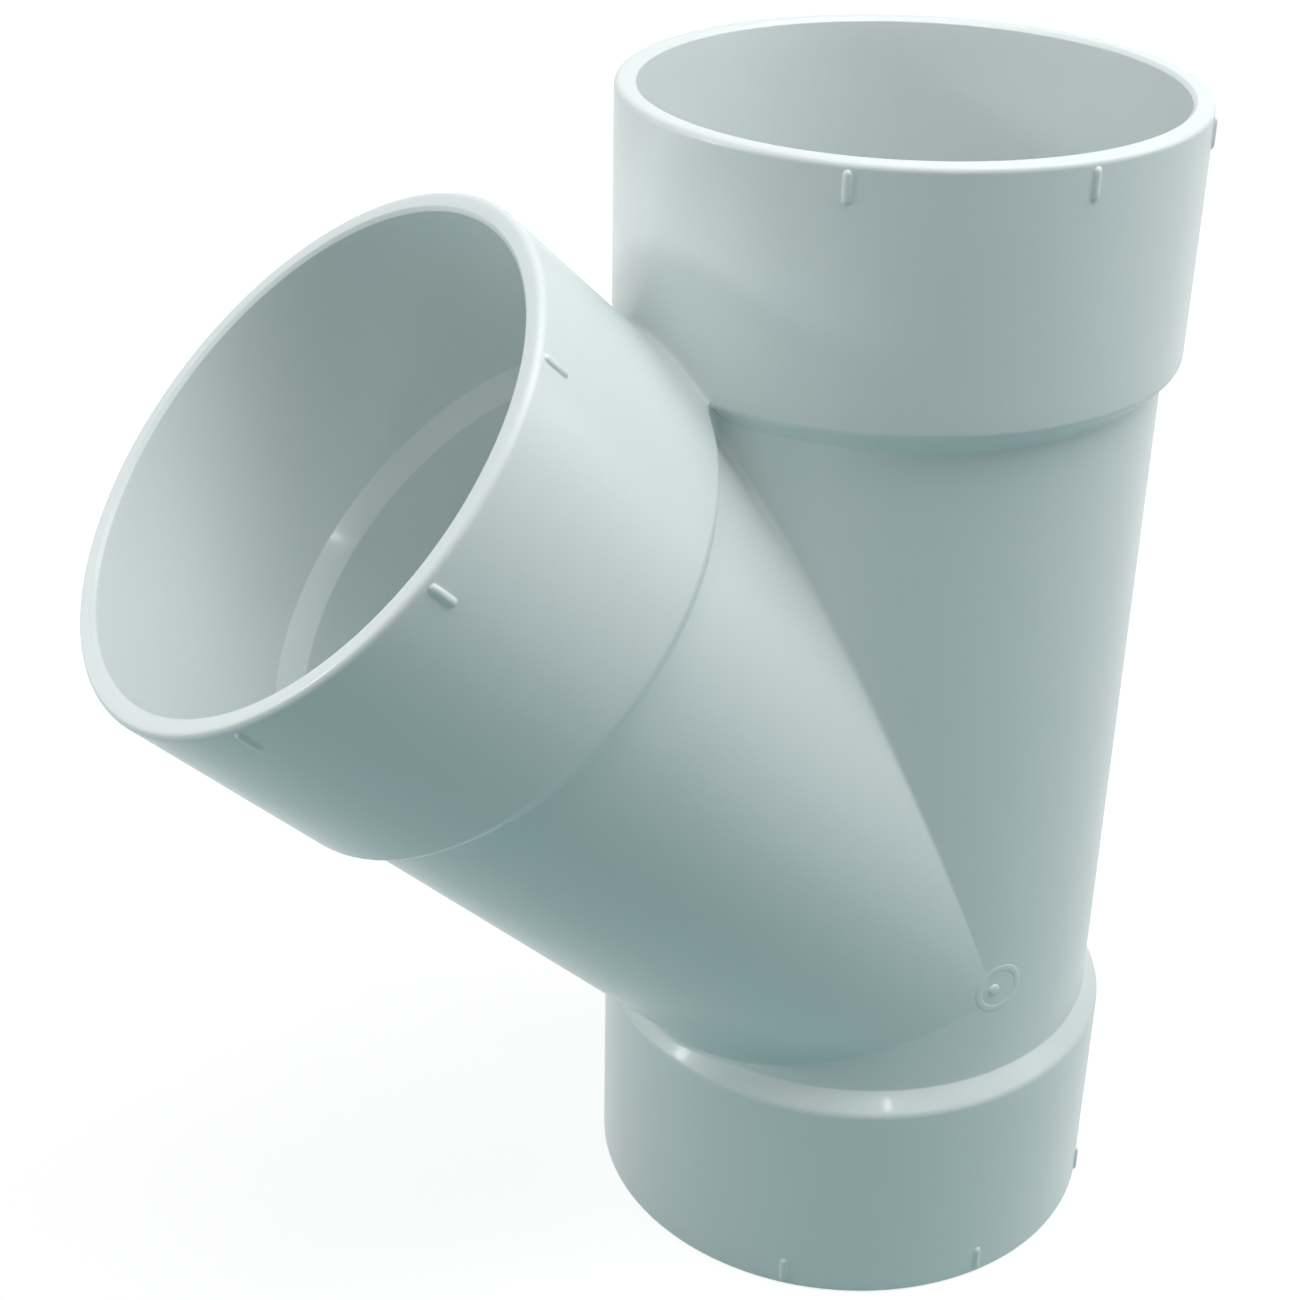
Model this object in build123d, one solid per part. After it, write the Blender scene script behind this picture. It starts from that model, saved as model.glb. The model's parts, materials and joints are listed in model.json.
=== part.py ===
"""Lateral wye fitting: a straight run with two pipe sockets and a side branch at 45 degrees.

Sizes are in millimetres. +Z runs along the run, the branch leans towards -X, and the origin is
the centre of the outlet rim, at the bottom.
"""
import os
from math import cos, radians, sin, tan

from build123d import *

# pipe and sockets
pipe_od = 107.06  # outside diameter of the pipe that is glued into each socket
pipe_gap = 0.22  # radial gap between pipe and socket
socket_depth = 48.5  # from the rim to the start of the pipe stop
stop_len = 5.0  # length of the conical pipe stop
lead_in = 0.8  # chamfer at the mouth of each socket

# walls
hub_wall = 4.35
bore_d = 101.6  # waterway through the run and the branch
barrel_wall = 3.6

# hubs
hub_len = 50.8  # straight outside length of a hub
shoulder_len = 4.2  # length of the cone from the hub down to the barrel
rim_bevel = 0.8  # chamfer round the outside edge of each rim
shoulder_round = 2.4

# layout
branch_angle = 45.0  # between the run and the branch
crotch_gap = 1.7  # from where the barrels part to the straight part of the upper hubs
heel_overlap = 1.6  # how far the branch's heel reaches down over the outlet hub's shoulder

# raised alignment marks on each hub, none of them on the parting line of the mould
mark_len = 6.4
mark_width = 2.2
mark_height = 0.9
mark_gap = 0.7  # from the bevelled edge of the rim to the mark
mark_angles = (45.0, 90.0, 135.0, 225.0, 270.0, 315.0)  # about the hub's axis, in degrees

# gate scar on each side of the body, level with the crossing of the two axes
gate_ring_r = 5.8  # middle of the raised ring
gate_ring_width = 1.1
gate_ring_height = 0.3
gate_nub_r = 1.7
gate_nub_height = 0.8

socket_r = pipe_od / 2 + pipe_gap
hub_r = socket_r + hub_wall
bore_r = bore_d / 2
barrel_r = bore_r + barrel_wall
half_angle = radians(branch_angle / 2)
outlet_reach = hub_len + shoulder_len - heel_overlap + barrel_r * tan(half_angle)
inlet_reach = hub_len + crotch_gap + barrel_r / tan(half_angle)
run_len = outlet_reach + inlet_reach
spare = 2.0  # how far a cutting tool runs past the rim it opens


def turned(points, shoulders=()):
    """Solid turned about Z from (radius, height) points; the points named in shoulders are rounded."""
    face = make_face(Polyline(*[(r, 0, z) for r, z in points], close=True))
    for r, z in shoulders:
        corner = face.vertices().sort_by_distance((r, 0, z))[0]
        face = face.face().fillet_2d(shoulder_round, [corner])
    return revolve(face, axis=Axis.Z, revolution_arc=360)


def end_outline(length, sign):
    """Hub, shoulder and barrel radii measured inwards from the rim at height length."""
    return [
        (barrel_r, length - sign * (hub_len + shoulder_len)),
        (hub_r, length - sign * hub_len),
        (hub_r, length - sign * rim_bevel),
        (hub_r - rim_bevel, length),
    ]


def end_cut(length, sign):
    """Waterway, pipe stop, socket and lead-in, measured inwards from the rim at height length."""
    return [
        (bore_r, length - sign * (socket_depth + stop_len)),
        (socket_r, length - sign * socket_depth),
        (socket_r, length - sign * lead_in),
        (socket_r + lead_in + spare, length + sign * spare),
    ]


def marks(rim):
    """Half-round raised marks on a hub, whose rim plane has its Z axis pointing out of the mouth."""
    bar = Pos(
        hub_r + mark_height - mark_width / 2, 0, -rim_bevel - mark_gap - mark_len / 2
    ) * Cylinder(mark_width / 2, mark_len)
    return [rim.location * Rot(0, 0, angle) * bar for angle in mark_angles]


def gate_scar(side):
    """Raised ring and button on the wall at one side of the crossing of the axes; side is -1 or 1."""
    def boss(radius, height):
        return Cylinder(radius, barrel_wall + height, align=(Align.CENTER, Align.CENTER, Align.MIN))

    ring = boss(gate_ring_r + gate_ring_width / 2, gate_ring_height)
    ring -= boss(gate_ring_r - gate_ring_width / 2, gate_ring_height)
    place = Pos(0, side * bore_r, outlet_reach) * Rot(-90 * side, 0, 0)
    return [place * ring, place * boss(gate_nub_r, gate_nub_height)]


outlet_rim = Plane(origin=(0, 0, 0), x_dir=(1, 0, 0), z_dir=(0, 0, -1))
inlet_rim = Plane(origin=(0, 0, run_len), x_dir=(1, 0, 0), z_dir=(0, 0, 1))
crossing = Pos(0, 0, outlet_reach) * Rot(0, -branch_angle, 0)
lean = radians(branch_angle)
branch_rim = Plane(
    origin=(-inlet_reach * sin(lean), 0, outlet_reach + inlet_reach * cos(lean)),
    x_dir=(cos(lean), 0, sin(lean)),
    z_dir=(-sin(lean), 0, cos(lean)),
)

# outside of the run and of the branch
outlet_end = end_outline(0, -1)
inlet_end = end_outline(run_len, 1)
branch_end = end_outline(inlet_reach, 1)
run_points = [(0, 0)] + outlet_end[::-1] + inlet_end + [(0, run_len)]
run_body = turned(run_points, (outlet_end[1], inlet_end[1]))
branch_points = [(0, 0), (barrel_r, 0)] + branch_end + [(0, inlet_reach)]
branch_body = crossing * turned(branch_points, branch_end[1:2])
body = run_body + branch_body

# raised marks and gate scars
for rim in (outlet_rim, inlet_rim, branch_rim):
    body += marks(rim)
for side in (-1, 1):
    body += gate_scar(side)

# waterway with the three sockets
run_cut = turned(
    [(0, -spare)] + end_cut(0, -1)[::-1] + end_cut(run_len, 1) + [(0, run_len + spare)]
)
branch_cut = crossing * turned(
    [(0, 0), (bore_r, 0)] + end_cut(inlet_reach, 1) + [(0, inlet_reach + spare)]
)
body -= run_cut + branch_cut

body = body.solid()
body.label = "wye_body"
os.makedirs("parts", exist_ok=True)
export_step(body, "parts/wye_body.step")
print("volume", round(body.volume), "box", body.bounding_box(), "faces", len(body.faces()))
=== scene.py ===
"""Looks for the lateral wye fitting: one moulded body, its material, the studio and the camera."""
import json
import math

import bmesh
import bpy
import numpy as np
from mathutils import Matrix, Vector

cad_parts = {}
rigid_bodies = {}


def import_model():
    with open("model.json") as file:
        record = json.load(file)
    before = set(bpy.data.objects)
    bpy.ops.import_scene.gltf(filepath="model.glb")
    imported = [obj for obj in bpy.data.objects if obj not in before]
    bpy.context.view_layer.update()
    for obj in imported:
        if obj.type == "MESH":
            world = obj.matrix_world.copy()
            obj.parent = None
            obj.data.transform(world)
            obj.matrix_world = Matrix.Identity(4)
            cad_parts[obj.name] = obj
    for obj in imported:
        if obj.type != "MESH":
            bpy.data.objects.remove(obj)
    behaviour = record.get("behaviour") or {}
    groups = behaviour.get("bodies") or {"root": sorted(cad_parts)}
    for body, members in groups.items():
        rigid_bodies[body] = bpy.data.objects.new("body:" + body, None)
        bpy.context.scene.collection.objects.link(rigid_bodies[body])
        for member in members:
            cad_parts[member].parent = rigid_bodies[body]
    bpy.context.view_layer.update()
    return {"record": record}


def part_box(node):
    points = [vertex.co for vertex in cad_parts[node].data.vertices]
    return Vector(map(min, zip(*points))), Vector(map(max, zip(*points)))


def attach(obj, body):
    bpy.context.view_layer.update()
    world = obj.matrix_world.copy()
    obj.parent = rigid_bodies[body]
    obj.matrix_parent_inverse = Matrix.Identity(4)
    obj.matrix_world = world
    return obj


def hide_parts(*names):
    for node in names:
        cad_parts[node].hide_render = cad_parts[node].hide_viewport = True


for obj in list(bpy.data.objects):
    bpy.data.objects.remove(obj)
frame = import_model()

# ---------------------------------------------------------------- sizes in millimetres
MM = 0.001
mounts = {m["name"]: m for m in frame["record"]["mounts"]}
low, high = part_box("wye_body")
run_len = high[2] / MM
hub_r = high[0] / MM
socket_r = mounts["run_socket"]["dims"]["r_mm"]
branch_dir = np.array(mounts["branch_socket"]["axis"], float)
branch_dir /= np.linalg.norm(branch_dir)
branch_at = np.array(mounts["branch_socket"]["pos_m"], float) / MM

# where the axes cross, and how far each rim is from there; the branch is as long as the inlet
crossing = branch_at - branch_dir * branch_at[0] / branch_dir[0]
outlet_reach = crossing[2]
inlet_reach = run_len - outlet_reach
reaches = {"inlet": inlet_reach, "branch": inlet_reach, "outlet": outlet_reach}
lean = math.atan2(-branch_dir[0], branch_dir[2])

# how far the barrel lies inside the hub, and a place on the flat of the rim outside the socket
barrel_step, flat_step = 3.7, 2.4
barrel_r, bore_r = hub_r - barrel_step, 50.8
rim_flat_r = socket_r + flat_step
lead_in, socket_depth, stop_len = 0.8, 48.5, 5.0
hub_len, shoulder_len = 50.8, 4.2
barrel_from = hub_len + shoulder_len
bore_from = socket_depth + stop_len
rim_round, shoulder_round, foot_round = 1.4, 2.4, 0.7
mouth_round, stop_round, stop_foot_round = 0.35, 0.5, 0.8

# size of the fillets where run and branch meet, on the outside and in the waterway
outer_blend, inner_blend = 1.5, 1.2

# alignment marks: bars of radius mark_r, sunk until mark_height stands out of the hub, whose
# straight part runs between two distances from the rim
mark_angles = (45, 90, 135, 225, 270, 315)
mark_r, mark_height, mark_from, mark_to = 0.95, 0.6, 2.35, 6.9

# gate scar: a low ridge round a button, each placed by x and z from the crossing
ridge_at, ridge_r, ridge_half_width = (0.9, 1.8), 5.1, 0.85
ridge_height, ridge_sunk = 0.11, 0.5
button_at, button_flat_r, button_round = (-0.4, 1.8), 0.35, 1.05
button_height, button_sunk, button_hole_r = 0.5, 0.6, 0.02

up = np.array([0.0, 0.0, 1.0])
side = np.array([0.0, 1.0, 0.0])
branch_up = np.cross(side, branch_dir)

# ---------------------------------------------------------------- spacing of the grid
# columns, in degrees: plain, finer near the plane of the fork, and tight where the web ends
column_step, fine_step, fine_count = 3, 1.2, 20
web_steps = (-2.2, -1.2, -0.6, -0.2, -0.01, 0.02, 0.3, 0.7, 1.4, 2.4)
clear_of_mark, clear_of_web = 2.5, 0.35
# columns at a mark, in millimetres from its middle
across_mark = (0, 0.22, 0.42, 0.6, 0.75, 0.86, 0.96, 1.25)

# rows in millimetres from the seam; where there is less room the first firm_rows keep their
# distances, and the rows bunched up after them are least_gap apart
off_seam = np.array([0, 0.12, 0.28, 0.48, 0.74, 1.08, 1.5, 2.0, 2.7, 3.6, 4.8, 6.4, 9.0])
firm_rows, least_gap = 6, 0.02
# rows from there to the waist, as shares of the way, and where the waist is from the rim
along_barrel = (0.08, 0.2, 0.36, 0.55, 0.76, 1.0)
outer_waist, inner_waist = barrel_from + 0.5, bore_from + 0.6
# rows at the round ends of a mark, in millimetres past its straight part
mark_end = (0, 0.37, 0.63, 0.79, 0.88)
# the other rows on a hub and in a socket, in millimetres from the rim
along_mark, beside_mark = (3.4, 4.6, 5.8), (1.2, 8.1)
up_hub, down_socket = (12, 20, 30, 40, 46), (6, 16, 28, 40)
up_shoulder = (0.3, 0.6)  # shares of the shoulder

# rows nearer a rim than this have the section's own radius; the others search for the surface
plain_len = hub_len - 16
# the search: its smallest radius, how far past the rounding of the rim it starts, and its step
narrowest, search_spare, seam_step = 38.0, 8, 0.05
# rows deeper than this past a mark aren't raised by it
past_mark = 3
# a guard against dividing by nothing, a distance that never counts, an end without a rim
TINY, FAR, OPEN_END = 1e-6, 1e3, -1e4


# ---------------------------------------------------------------- section of a hub
def rounded(corners, radii, steps):
    """Points of a polyline whose inner corners are turned into arcs."""
    out = [corners[0]]
    for a, b, c, r, n in zip(corners, corners[1:], corners[2:], radii, steps):
        a, b, c = map(np.array, (a, b, c))
        u = (a - b) / np.linalg.norm(a - b)
        v = (c - b) / np.linalg.norm(c - b)
        half = math.acos(np.clip(u @ v, -1, 1)) / 2
        cut = r / math.tan(half)
        middle = b + (u + v) / np.linalg.norm(u + v) * r / math.sin(half)
        start, stop = b + u * cut - middle, b + v * cut - middle
        turn = math.pi - 2 * half
        for k in range(n + 1):
            w = (math.sin(turn * (1 - k / n)) * start + math.sin(turn * k / n) * stop) / math.sin(turn)
            out.append(tuple(middle + w))
    return out + [corners[-1]]


# (distance from the rim, radius), from the flat of the rim down the outside and down the inside
run_on = 6
outside = rounded(
    [(0, rim_flat_r), (0, hub_r), (hub_len, hub_r), (barrel_from, barrel_r),
     (barrel_from + run_on, barrel_r)],
    (rim_round, shoulder_round, foot_round), (6, 7, 4),
)
inside = rounded(
    [(0, rim_flat_r), (0, socket_r + lead_in), (lead_in, socket_r), (socket_depth, socket_r),
     (bore_from, bore_r), (bore_from + run_on, bore_r)],
    (mouth_round, mouth_round, stop_round, stop_foot_round), (3, 3, 4, 4),
)


def radius_at(section, s):
    """Radius of a section at a distance s from the rim."""
    s_list = [p[0] for p in section[1:]]
    r_list = [p[1] for p in section[1:]]
    return np.interp(s, s_list, r_list)


def tube(p, start, direction, ends, section):
    """Signed distance and normal of the surface turned about one axis; ends are the two rims."""
    t = (p - start) @ direction
    across = p - start - t[:, None] * direction
    r = np.linalg.norm(across, axis=1)
    s = np.minimum(ends[1] - t, t - ends[0])
    inward = np.where(ends[1] - t < t - ends[0], -1.0, 1.0)
    nudge = 0.02
    rise = radius_at(section, s + nudge) - radius_at(section, s - nudge)
    slope = rise / (2 * nudge) * inward
    scale = 1 / np.sqrt(1 + slope ** 2)
    normal = across / np.maximum(r, TINY)[:, None] - slope[:, None] * direction
    return (r - radius_at(section, s)) * scale, normal * scale[:, None]


def body(p, section, blend):
    """Signed distance of run and branch together, with a fillet where they meet at an angle."""
    run, n_run = tube(p, np.zeros(3), up, (0.0, run_len), section)
    arm, n_arm = tube(p, crossing, branch_dir, (OPEN_END, inlet_reach), section)
    arm = np.where((p - crossing) @ branch_dir < 0, FAR, arm)
    k = np.maximum(blend * (1 - (n_run * n_arm).sum(1)), TINY)
    mix = np.maximum(k - np.abs(run - arm), 0)
    return np.minimum(run, arm) - mix ** 2 / (4 * k)


def surface_radius(place, low_r, high_r, shape, rounds=34):
    """Radius at which each column meets the surface, by halving; place turns radii into points."""
    for _ in range(rounds):
        r = (low_r + high_r) / 2
        is_outside = body(place(r), *shape) > 0
        high_r = np.where(is_outside, r, high_r)
        low_r = np.where(is_outside, low_r, r)
    return (low_r + high_r) / 2


# ---------------------------------------------------------------- grid of the moulding
# Each end is a grid of its own: columns at set angles round its axis, and rows from its seam,
# where it meets the other two ends, to its rim.
def ring_of(angle, t, r, end):
    """Points of an end at t along its axis from the crossing and r out from the axis."""
    if end == "branch":
        c, s = np.cos(angle)[:, None], np.sin(angle)[:, None]
        return crossing + t[:, None] * branch_dir + r[:, None] * (c * branch_up + s * side)
    z = -t if end == "outlet" else t
    return np.stack([r * np.cos(angle), r * np.sin(angle), crossing[2] + z], 1)


def seam_slope(angle, end):
    """How far along the axis the seam plane lies, for each millimetre out from the axis."""
    lateral = np.cos(angle) * (1 if end == "branch" else -1)
    gentle = math.tan(lean / 2)
    towards = gentle if end == "outlet" else 1 / gentle
    away = gentle if end == "branch" else 0
    return np.abs(lateral) * np.where(lateral > 0, towards, away)


def web_end(shape):
    """Degrees from the crotch to where the web between the two upper hubs ends."""
    below, above, apart, rounds = 1.5, 0.8, 0.02, 14
    r = np.arange(hub_r - below, hub_r + above, apart)
    near, far = 0.0, 60.0
    for _ in range(rounds):
        a = math.radians((near + far) / 2)
        p = ring_of(np.full_like(r, a), r * math.cos(a) / math.tan(lean / 2), r, "branch")
        if (body(p, *shape) < 0).any():
            near = math.degrees(a)
        else:
            far = math.degrees(a)
    return near


def columns():
    """Angles round an axis, closer together at the marks and the web, the same set when mirrored."""
    out = set()
    for a in mark_angles:
        for d in across_mark:
            out |= {round(a + q * math.degrees(d / hub_r), 6) for q in (-1, 1)}
    fine = range(-fine_count, fine_count + 1)
    plain = list(range(0, 360, column_step)) + [m + fine_step * k for m in (0, 180) for k in fine]
    for a in {round(p % 360, 6) for p in plain}:
        if min(abs(a - m) for m in mark_angles) > clear_of_mark:
            out.add(a)
    end = web_end((outside, outer_blend))
    near_end = {
        round(m + q * (end + d), 6) % 360 for m in (0, 180) for q in (-1, 1) for d in web_steps
    }
    out = {a for a in out if min(abs(a - b) for b in near_end) > clear_of_web} | near_end
    return np.radians(sorted(out))


def stations(t0, reach, fixed, waist):
    """Rows of all columns from the seam at t0 to the rim; fixed are distances from the rim."""
    span = np.maximum(reach - waist - t0, 0)
    shrink = np.minimum(1, span / off_seam[-1])
    rest = np.maximum(span - off_seam[-1], 0)
    rows = [t0 + c * shrink for c in off_seam]
    rows += [t0 + off_seam[-1] * shrink + rest * w for w in along_barrel]
    rows += [np.full_like(t0, reach - s) for s in fixed]
    least = list(off_seam[:firm_rows])
    least += [off_seam[firm_rows - 1] + least_gap * k for k in range(1, len(rows))]
    return [np.maximum(row, t0 + gap) for row, gap in zip(rows, least)]


def mark_lift(angle, s):
    """Height of the raised alignment marks at a distance s from the rim."""
    off = np.full_like(angle, FAR)
    for a in mark_angles:
        d = (angle - math.radians(a) + math.pi) % (2 * math.pi) - math.pi
        off = np.minimum(off, np.abs(d) * hub_r)
    along = max(mark_from - s, s - mark_to, 0.0)
    chord = np.sqrt(np.maximum(mark_r ** 2 - off ** 2 - along ** 2, 0))
    return np.maximum(chord - (mark_r - mark_height), 0)


def seam_radius(angle, slope, end, shape, widest):
    """The outermost crossing of surface and seam plane, found by steps and then by halving."""
    def on_plane(r):
        return ring_of(angle, r * slope, r, end)

    tries = np.arange(widest, narrowest, -seam_step)
    is_inside = np.array([body(on_plane(np.full_like(angle, r)), *shape) < 0 for r in tries])
    first = tries[is_inside.argmax(0)]
    return surface_radius(on_plane, first, first + seam_step, shape)


def end_rows(angle, end, shape, waist, extra, has_marks):
    """Rows of points of one end, from its seam to its rim; shape is a section and its fillet."""
    section, reach, slope = shape[0], reaches[end], seam_slope(angle, end)
    corners = {round(p[0], 4) for p in section[1:-1] if p[0] > TINY}
    fixed = sorted(corners | set(extra), reverse=True)
    widest = section[2][1] + search_spare
    r_seam = seam_radius(angle, slope, end, shape, widest)
    rows = []
    for k, t in enumerate(stations(r_seam * slope, reach, fixed, waist)):
        s = reach - t
        r = radius_at(section, s)
        if s.max() > plain_len:
            ceiling = np.where(slope > TINY, t / np.maximum(slope, TINY), widest)
            met = surface_radius(
                lambda radius: ring_of(angle, t, radius, end),
                np.full_like(t, narrowest), np.minimum(ceiling, widest), shape,
            )
            r = r_seam if k == 0 else np.where(s > plain_len, met, r)
        if has_marks and s.max() < mark_to + past_mark:
            r = r + mark_lift(angle, float(s.mean()))
        rows.append(ring_of(angle, t, r, end))
    return rows


def rim_rows(angle, end):
    """Rows on the flat of the rim, from the outside to the inside."""
    t = np.full_like(angle, reaches[end])
    radii = (outside[1][1], rim_flat_r, inside[1][1])
    return [ring_of(angle, t, np.full_like(angle, r), end) for r in radii]


def add_grid(verts, faces, rows):
    """Quads between rows of points, each of which runs once round an axis."""
    base, n = len(verts), len(rows[0])
    for row in rows:
        verts.extend(map(tuple, row * MM))
    for i in range(len(rows) - 1):
        for j in range(n):
            a, b = base + i * n + j, base + i * n + (j + 1) % n
            faces.append((a, b, b + n, a + n))


def add_moulding(verts, faces):
    """Each end from its seam out to the rim and, inside, back to the seam."""
    angle = columns()
    hub_rows = [round(mark_from - d, 2) for d in mark_end] + [round(mark_to + d, 2) for d in mark_end]
    hub_rows += along_mark + beside_mark + up_hub
    hub_rows += [hub_len + shoulder_len * k for k in up_shoulder]
    for end in reaches:
        outer = end_rows(angle, end, (outside, outer_blend), outer_waist, hub_rows, True)
        inner = end_rows(angle, end, (inside, inner_blend), inner_waist, down_socket, False)
        add_grid(verts, faces, outer + rim_rows(angle, end) + inner[::-1])


# ---------------------------------------------------------------- gate scar, one on each side
def skin_y(x, z):
    """How far the body stands out sideways beside the crossing of the axes."""
    p = np.array([x, 0.0, z]) - crossing
    a = p @ branch_up
    run = math.sqrt(barrel_r ** 2 - x * x)
    arm = math.sqrt(barrel_r ** 2 - a * a) if p @ branch_dir > 0 else 0
    return max(run, arm)


def add_turned(verts, faces, sign, profile, at, count):
    """A closed profile of (radius, height) turned about the side axis, laid on the curved wall."""
    base, m = len(verts), len(profile)
    for k in range(count):
        w = 2 * math.pi * k / count
        for r, h in profile:
            x, z = at[0] + r * math.cos(w), crossing[2] + at[1] + r * math.sin(w)
            verts.append((x * MM, sign * (skin_y(x, z) + h) * MM, z * MM))
    for k in range(count):
        for i in range(m):
            j, l = (i + 1) % m, (k + 1) % count
            faces.append((base + k * m + i, base + k * m + j, base + l * m + j, base + l * m + i))


def add_scars(verts, faces):
    """A ridge and a button on both sides of the body."""
    ridge = []
    for v in np.linspace(0, 2 * math.pi, 14, endpoint=False):
        height = ridge_height if v < math.pi else ridge_sunk
        ridge.append((ridge_r + ridge_half_width * math.cos(v), height * math.sin(v)))
    button = [(button_hole_r, -button_sunk), (button_hole_r, button_height)]
    for v in np.linspace(0, math.pi / 2, 7):
        button.append((button_flat_r + button_round * math.sin(v), button_height * math.cos(v)))
    button.append((button_flat_r + button_round, -button_sunk))
    for sign in (-1, 1):
        add_turned(verts, faces, sign, ridge, ridge_at, 64)
        add_turned(verts, faces, sign, button, button_at, 40)


# ---------------------------------------------------------------- the piece
def clean(mesh):
    """Welds the seams, drops slivers, turns faces outward and shades all but sharp edges smooth."""
    weld, sliver, sharp_from = 3e-6, 1e-6, 50  # metres, metres, degrees
    bm = bmesh.new()
    bm.from_mesh(mesh)
    bmesh.ops.remove_doubles(bm, verts=bm.verts, dist=weld)
    bmesh.ops.dissolve_degenerate(bm, dist=sliver, edges=bm.edges)
    bmesh.ops.recalc_face_normals(bm, faces=bm.faces)
    for face in bm.faces:
        face.smooth = True
    bm.to_mesh(mesh)
    bm.free()
    mesh.set_sharp_from_angle(angle=math.radians(sharp_from))


verts, faces = [], []
add_moulding(verts, faces)
add_scars(verts, faces)
mesh = bpy.data.meshes.new("wye_moulding")
mesh.from_pydata(verts, [], faces)
moulding = bpy.data.objects.new("wye_moulding", mesh)
bpy.context.scene.collection.objects.link(moulding)
clean(mesh)
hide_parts("wye_body")
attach(moulding, "root")


# ---------------------------------------------------------------- material
def pvc():
    """White plastic with a slight green-blue cast, a fine grain, soft waves and a soft gloss."""
    material = bpy.data.materials.new("white_pvc")
    material.use_nodes = True
    tree = material.node_tree
    tree.nodes.clear()
    out = tree.nodes.new("ShaderNodeOutputMaterial")
    plastic = tree.nodes.new("ShaderNodeBsdfPrincipled")
    tree.links.new(plastic.outputs[0], out.inputs[0])
    place = tree.nodes.new("ShaderNodeTexCoord")

    def noise(scale, detail):
        node = tree.nodes.new("ShaderNodeTexNoise")
        node.inputs["Scale"].default_value = scale
        node.inputs["Detail"].default_value = detail
        node.inputs["Roughness"].default_value = 0.5
        tree.links.new(place.outputs["Object"], node.inputs["Vector"])
        return node.outputs["Fac"]

    def spread(value, least, most):
        """The middle of a noise, 0.3 to 0.7, spread over another range."""
        node = tree.nodes.new("ShaderNodeMapRange")
        node.inputs["From Min"].default_value = 0.3
        node.inputs["From Max"].default_value = 0.7
        node.inputs["To Min"].default_value = least
        node.inputs["To Max"].default_value = most
        tree.links.new(value, node.inputs["Value"])
        return node.outputs["Result"]

    def bump(height, strength, distance):
        node = tree.nodes.new("ShaderNodeBump")
        node.inputs["Strength"].default_value = strength
        node.inputs["Distance"].default_value = distance
        tree.links.new(height, node.inputs["Height"])
        return node

    tint = tree.nodes.new("ShaderNodeMix")
    tint.data_type = "RGBA"
    tint.inputs["A"].default_value = (0.77, 0.85, 0.845, 1)
    tint.inputs["B"].default_value = (0.8, 0.87, 0.865, 1)
    tree.links.new(spread(noise(14, 3), 0, 1), tint.inputs["Factor"])
    tree.links.new(tint.outputs["Result"], plastic.inputs["Base Color"])
    tree.links.new(spread(noise(55, 4), 0.285, 0.35), plastic.inputs["Roughness"])
    plastic.inputs["IOR"].default_value = 1.45
    plastic.inputs["Coat Weight"].default_value = 0.16
    plastic.inputs["Coat Roughness"].default_value = 0.1
    grain = bump(noise(420, 3), 0.12, 0.0004)
    wave = bump(noise(22, 2), 0.15, 0.002)
    tree.links.new(grain.outputs[0], wave.inputs["Normal"])
    tree.links.new(wave.outputs[0], plastic.inputs["Normal"])
    return material


mesh.materials.append(pvc())

# ---------------------------------------------------------------- studio
scene = bpy.context.scene
scene.view_settings.view_transform = "Standard"
middle = Vector([(a + b) / 2 for a, b in zip(low, high)])


def aimed(obj, at, heading, elevation, distance, roll=0.0):
    """Puts obj at a distance from a point, looking at it; heading is where it stands, from +X."""
    h, e = math.radians(heading), math.radians(elevation)
    out = Vector((math.cos(h) * math.cos(e), math.sin(h) * math.cos(e), math.sin(e)))
    turn = out.to_track_quat("Z", "Y").to_matrix() @ Matrix.Rotation(math.radians(roll), 3, "Z")
    obj.matrix_world = Matrix.Translation(at + out * distance) @ turn.to_4x4()


camera = bpy.data.objects.new("camera", bpy.data.cameras.new("camera"))
camera.data.sensor_width = 36.0
camera.data.lens = 63.28
scene.collection.objects.link(camera)
scene.camera = camera
aim = middle + Vector((0.0038, 0.0063, 0.0137))
aimed(camera, aim, heading=241.14, elevation=28.29, distance=0.4824, roll=1.09)

# name, heading, elevation, side in metres, watts; the two spots are there for small glints
lamps = (
    ("top_box", 0, 88, 0.55, 2.2),
    ("front_right_box", 315, 60, 0.55, 3.6),
    ("front_left_box", 225, 60, 0.55, 0.7),
    ("front_spot", 261.5, 37, 0.04, 0.3),
    ("right_box", 337.5, 32, 0.55, 1.7),
    ("left_box", 202.5, 32, 0.55, 0.5),
    ("back_left_box", 157.5, 32, 0.55, 1.2),
    ("back_left_spot", 158, 24, 0.08, 0.8),
    ("low_back_box", 135, 6, 0.55, 1.2),
)
lamp_distance = 0.9
for name, heading, elevation, side_len, watts in lamps:
    light = bpy.data.lights.new(name, "AREA")
    light.shape = "SQUARE"
    light.size = side_len
    light.energy = watts
    lamp = bpy.data.objects.new(name, light)
    scene.collection.objects.link(lamp)
    aimed(lamp, middle, heading, elevation, lamp_distance)


def white_for_camera(tree):
    """1 for rays that see the backdrop directly, in a reflection or through glass."""
    path = tree.nodes.new("ShaderNodeLightPath")
    value = path.outputs["Is Camera Ray"]
    for other in ("Is Glossy Ray", "Is Transmission Ray"):
        node = tree.nodes.new("ShaderNodeMath")
        node.operation = "MAXIMUM"
        tree.links.new(value, node.inputs[0])
        tree.links.new(path.outputs[other], node.inputs[1])
        value = node.outputs[0]
    return value


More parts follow.
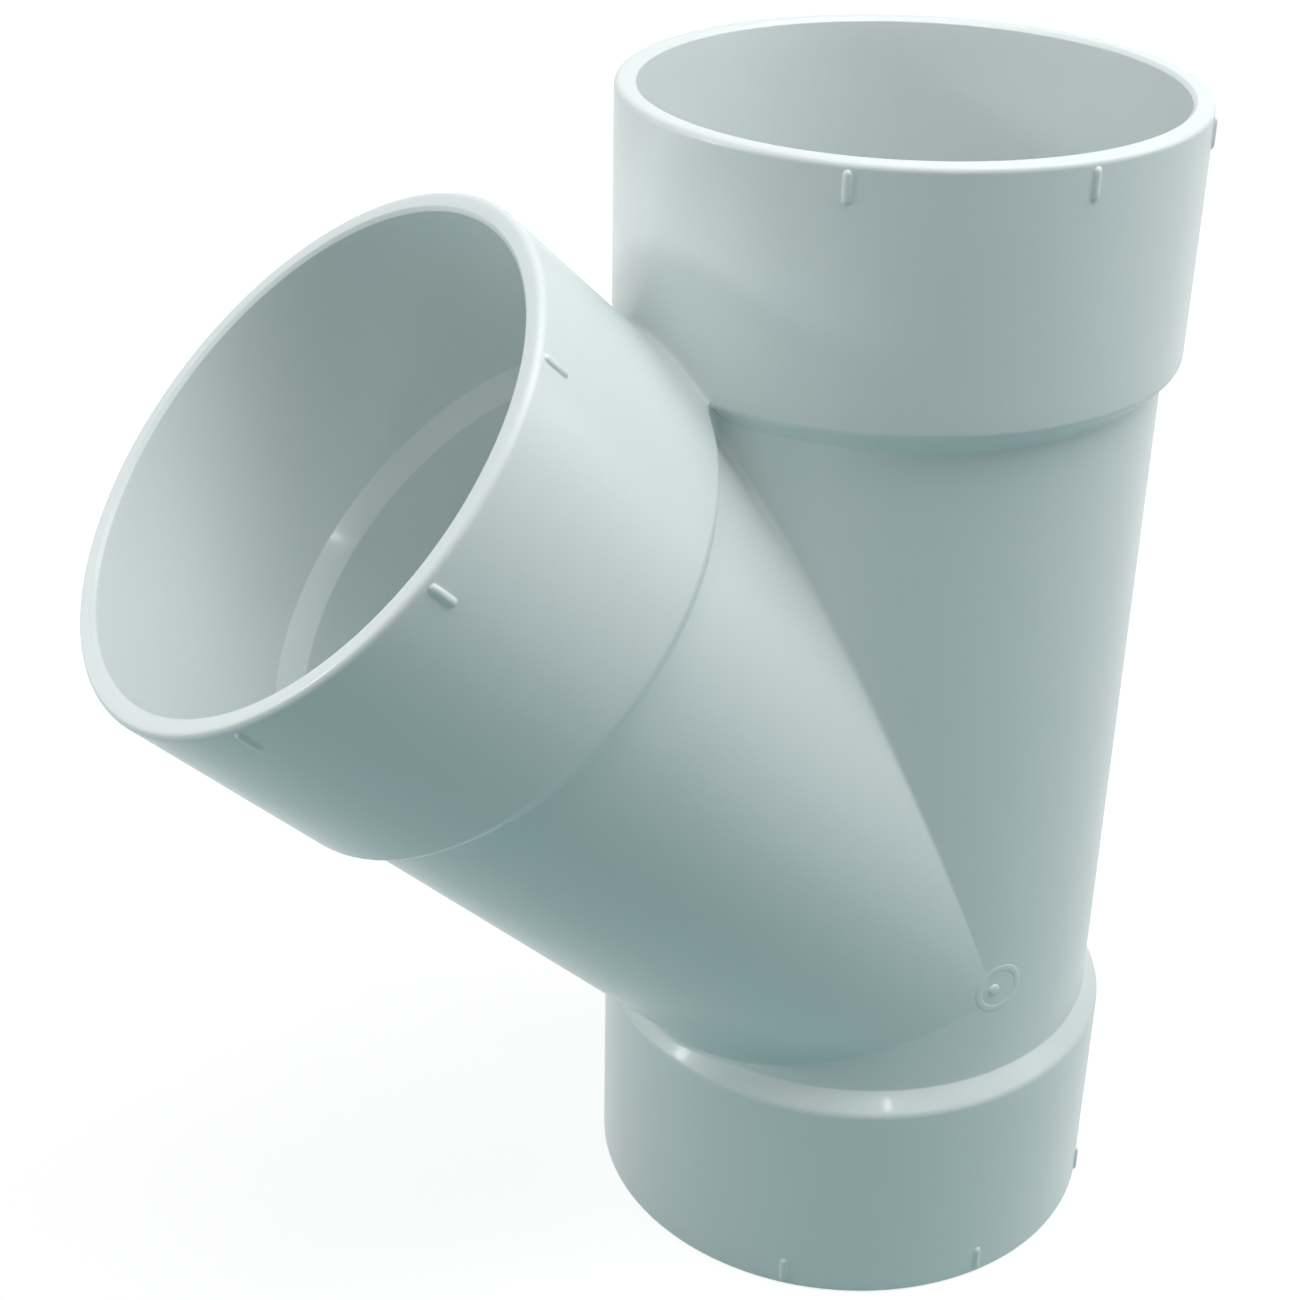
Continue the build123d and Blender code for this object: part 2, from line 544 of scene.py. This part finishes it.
def seen_or_not(tree, lit, seen, out_type):
    """Joins what lights the object with what the camera sees, and leads both to the output."""
    mix = tree.nodes.new("ShaderNodeMixShader")
    out = tree.nodes.new(out_type)
    tree.links.new(white_for_camera(tree), mix.inputs[0])
    tree.links.new(lit.outputs[0], mix.inputs[1])
    tree.links.new(seen.outputs[0], mix.inputs[2])
    tree.links.new(mix.outputs[0], out.inputs[0])


def studio_world():
    """A faint cool light from all round, seen as plain white."""
    world = bpy.data.worlds.new("studio")
    world.use_nodes = True
    tree = world.node_tree
    tree.nodes.clear()
    surround = tree.nodes.new("ShaderNodeBackground")
    surround.inputs["Color"].default_value = (0.6, 1.0, 1.0, 1)
    surround.inputs["Strength"].default_value = 0.02
    backdrop = tree.nodes.new("ShaderNodeBackground")
    backdrop.inputs["Color"].default_value = (1, 1, 1, 1)
    backdrop.inputs["Strength"].default_value = 1.0
    seen_or_not(tree, surround, backdrop, "ShaderNodeOutputWorld")
    return world


def paper():
    """Throws back a dim cool light, and is seen as a sheet that takes a shadow and glows white."""
    material = bpy.data.materials.new("paper")
    material.use_nodes = True
    tree = material.node_tree
    tree.nodes.clear()
    bounce = tree.nodes.new("ShaderNodeBsdfDiffuse")
    bounce.inputs["Color"].default_value = (0.26, 0.46, 0.47, 1)
    sheet = tree.nodes.new("ShaderNodeBsdfDiffuse")
    sheet.inputs["Color"].default_value = (0.3, 0.3, 0.3, 1)
    glow = tree.nodes.new("ShaderNodeEmission")
    place = tree.nodes.new("ShaderNodeTexCoord")
    away = tree.nodes.new("ShaderNodeVectorMath")
    away.operation = "LENGTH"
    tree.links.new(place.outputs["Object"], away.inputs[0])

    # the glow grows with the distance in metres from the middle of the floor
    growth = tree.nodes.new("ShaderNodeMapRange")
    growth.inputs["From Min"].default_value = 0.25
    growth.inputs["From Max"].default_value = 0.7
    growth.inputs["To Min"].default_value = 0.84
    growth.inputs["To Max"].default_value = 1.0
    tree.links.new(away.outputs["Value"], growth.inputs["Value"])
    tree.links.new(growth.outputs["Result"], glow.inputs["Strength"])
    both = tree.nodes.new("ShaderNodeAddShader")
    tree.links.new(sheet.outputs[0], both.inputs[0])
    tree.links.new(glow.outputs[0], both.inputs[1])
    seen_or_not(tree, bounce, both, "ShaderNodeOutputMaterial")
    return material


scene.world = studio_world()
floor_reach = 3.0
floor_corners = [(x * floor_reach, y * floor_reach, 0) for x, y in ((-1, -1), (1, -1), (1, 1), (-1, 1))]
floor_mesh = bpy.data.meshes.new("floor")
floor_mesh.from_pydata(floor_corners, [], [(0, 1, 2, 3)])
floor = bpy.data.objects.new("floor", floor_mesh)
scene.collection.objects.link(floor)
floor_mesh.materials.append(paper())
